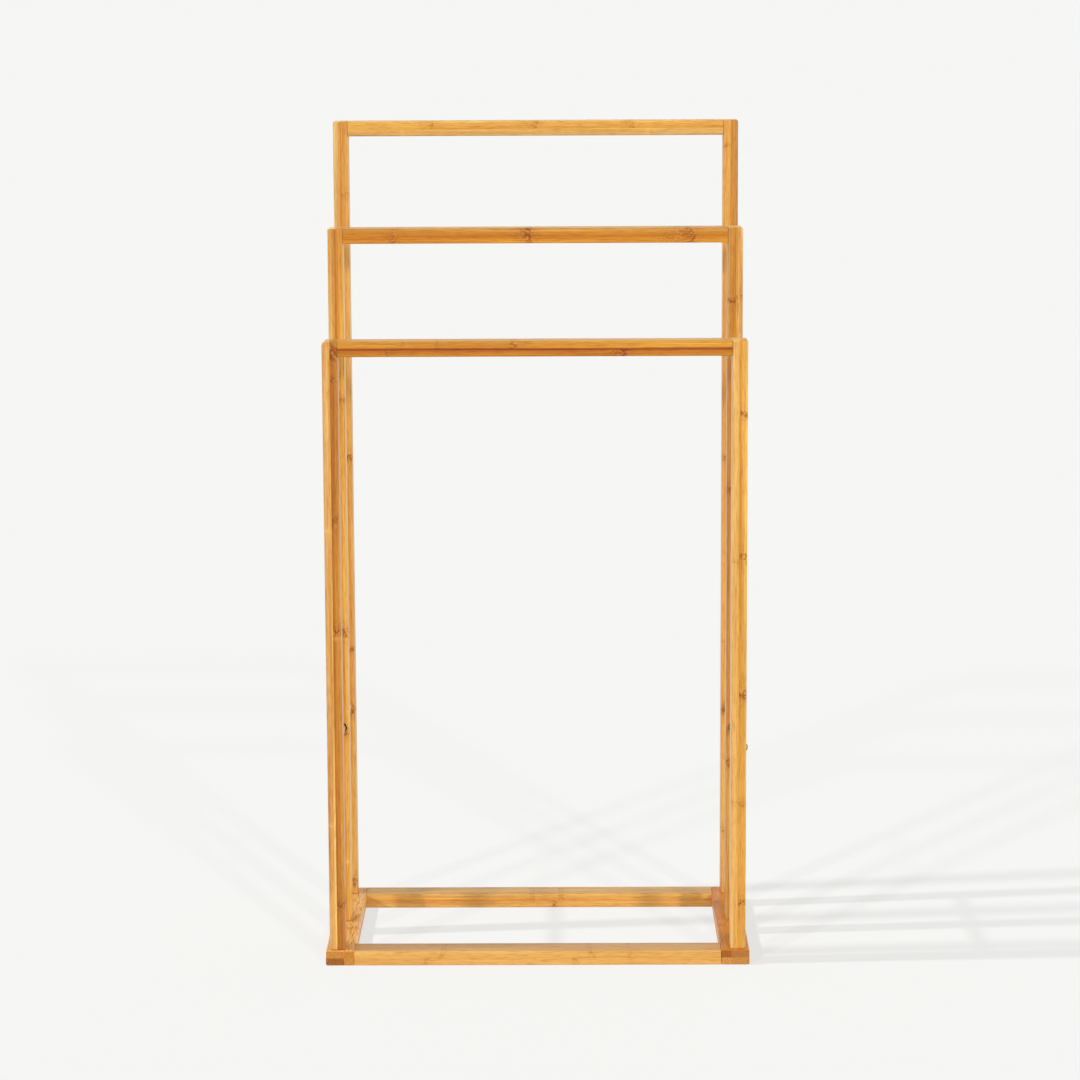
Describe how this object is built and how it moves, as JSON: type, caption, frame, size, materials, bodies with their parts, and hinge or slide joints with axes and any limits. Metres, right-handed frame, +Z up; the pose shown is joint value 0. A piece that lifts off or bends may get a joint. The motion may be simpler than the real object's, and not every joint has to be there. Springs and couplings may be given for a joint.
{
  "type": "towel rack",
  "caption": "Free-standing bamboo towel rack: a flat rectangular base carries staggered frames that rise in steps to the back, each with a flat towel bar.",
  "frame": {"origin": "middle of the base footprint, on the floor", "axes": "+X to the right seen from the front, +Y to the back, where the tallest frame stands, +Z up"},
  "size_m": [0.416, 0.245, 0.815],
  "materials": {
    "bamboo": "laminated bamboo, sanded, satin clear lacquer",
    "bamboo_rod": "turned bamboo, satin clear lacquer",
    "dowel_wood": "beech, unfinished",
    "bronzed_screw": "bronzed steel, satin",
    "zinc_screw": "zinc plated"
  },
  "bodies": {
    "root": {"base_side_rail_left": "bamboo", "base_side_rail_right": "bamboo", "base_front_rail": "bamboo", "base_rear_rail": "bamboo", "front_upright_left": "bamboo", "front_upright_right": "bamboo", "middle_upright_left": "bamboo", "middle_upright_right": "bamboo", "rear_upright_left": "bamboo", "rear_upright_right": "bamboo", "front_bar": "bamboo", "middle_bar": "bamboo", "rear_bar": "bamboo", "brace_rod_left": "bamboo_rod", "brace_rod_right": "bamboo_rod", "brace_screw_left": "bronzed_screw", "brace_screw_right": "bronzed_screw", "foot_screws_left": "zinc_screw", "foot_screws_right": "zinc_screw", "foot_dowels_left": "dowel_wood", "foot_dowels_right": "dowel_wood", "front_rail_dowels": "dowel_wood", "rear_rail_dowels": "dowel_wood", "front_bar_dowels": "dowel_wood", "middle_bar_dowels": "dowel_wood", "rear_bar_dowels": "dowel_wood"}
  },
  "joints": []
}
